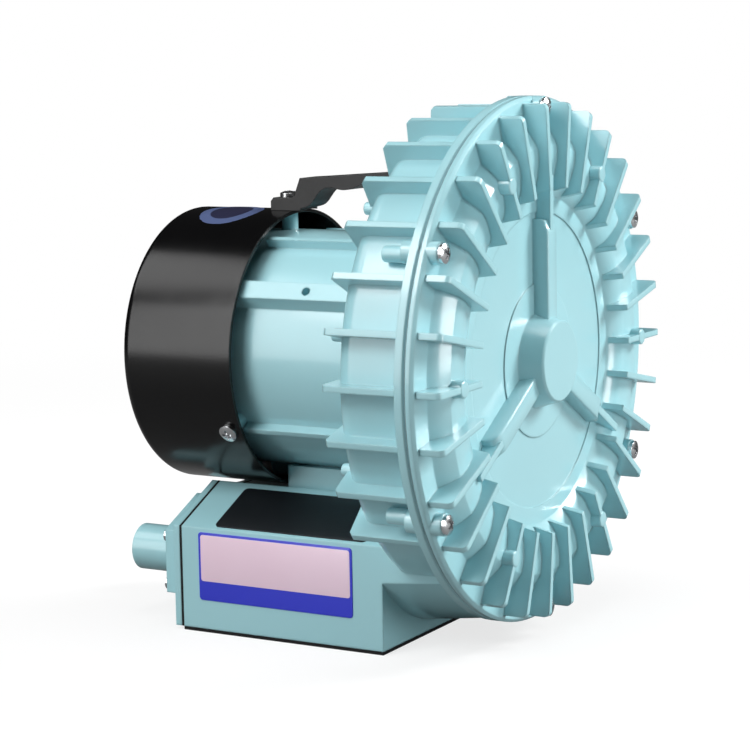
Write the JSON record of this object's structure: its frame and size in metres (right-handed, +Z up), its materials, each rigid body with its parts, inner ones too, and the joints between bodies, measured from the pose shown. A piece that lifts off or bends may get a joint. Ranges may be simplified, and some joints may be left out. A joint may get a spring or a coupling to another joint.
{
  "type": "side-channel blower",
  "caption": "High-pressure side-channel blower: finned round casing with a finned cover, motor with a black fan cover and grip, on a box base with two hose spigots.",
  "frame": {"origin": "on the bench under the shaft, centre of the base's four screw holes", "axes": "+Z up, +Y towards the fan cover and the hose spigots, -Y towards the finned cover, +X towards the terminal box"},
  "size_m": [0.216, 0.1916, 0.2252],
  "materials": {
    "body_paint": "satin pale blue-green paint on die-cast aluminium",
    "black_paint": "satin black",
    "black_rubber": "matt",
    "bright_screw": "bright zinc plate",
    "bare_aluminium": "machined and as cast",
    "bearing_steel": "ground",
    "machined_steel": "turned",
    "lamination": "stamped electrical sheet",
    "copper": "enamelled copper wire",
    "zinc_plate": "zinc-plated sheet",
    "foam": "open-cell foam",
    "black_plastic": "moulded",
    "fan_plastic": "moulded",
    "capacitor_can": "smooth",
    "block_plastic": "moulded"
  },
  "bodies": {
    "housing": {"casing": "body_paint", "front_cover": "body_paint", "cover_gasket": "black_rubber", "cover_screws": "bright_screw", "shaft_seal": "black_rubber", "front_bearing_outer": "bearing_steel", "rear_bearing_outer": "bearing_steel", "stator_core": "lamination", "stator_winding": "copper", "rear_end_shield": "bare_aluminium", "shield_screws": "zinc_plate", "wave_washer": "machined_steel", "fan_cover": "black_paint", "fan_cover_screws": "bright_screw", "handle": "black_plastic", "handle_screws": "bright_screw", "bottom_plate": "zinc_plate", "bottom_plate_screws": "zinc_plate", "base_pad": "black_rubber", "end_cover_gasket": "black_rubber", "end_cover": "body_paint", "end_cover_screws": "bright_screw", "inlet_silencer": "foam", "outlet_silencer": "foam", "terminal_box": "black_plastic", "terminal_box_gasket": "black_rubber", "terminal_box_lid": "black_plastic", "terminal_box_screws": "bright_screw", "run_capacitor": "capacitor_can", "terminal_block": "block_plastic", "cable_gland": "black_plastic", "gland_cap": "black_plastic", "gland_nut": "black_plastic"},
    "rotor": {"shaft": "machined_steel", "impeller": "bare_aluminium", "impeller_key": "machined_steel", "impeller_washer": "zinc_plate", "impeller_nut": "zinc_plate", "spacer_sleeve": "machined_steel", "front_bearing_inner": "bearing_steel", "rear_bearing_inner": "bearing_steel", "rotor_core": "lamination", "rotor_cage": "bare_aluminium", "cooling_fan": "fan_plastic", "fan_clip": "machined_steel"},
    "front_balls": {"front_bearing_balls": "bearing_steel", "front_bearing_cage": "block_plastic"},
    "rear_balls": {"rear_bearing_balls": "bearing_steel", "rear_bearing_cage": "block_plastic"}
  },
  "joints": [
    {"name": "rotor_spin", "type": "hinge", "parent": "housing", "child": "rotor", "pos_m": [0, 0, 0.1172], "axis": [0, 1, 0], "continuous": true},
    {"name": "front_balls_orbit", "type": "hinge", "parent": "housing", "child": "front_balls", "pos_m": [0, -0.0594, 0.1172], "axis": [0, 1, 0], "continuous": true},
    {"name": "rear_balls_orbit", "type": "hinge", "parent": "housing", "child": "rear_balls", "pos_m": [0, 0.0246, 0.1172], "axis": [0, 1, 0], "continuous": true}
  ],
  "couplings": [
    {"joint": "front_balls_orbit", "follows": "rotor_spin", "ratio": 0.38},
    {"joint": "rear_balls_orbit", "follows": "rotor_spin", "ratio": 0.377}
  ]
}
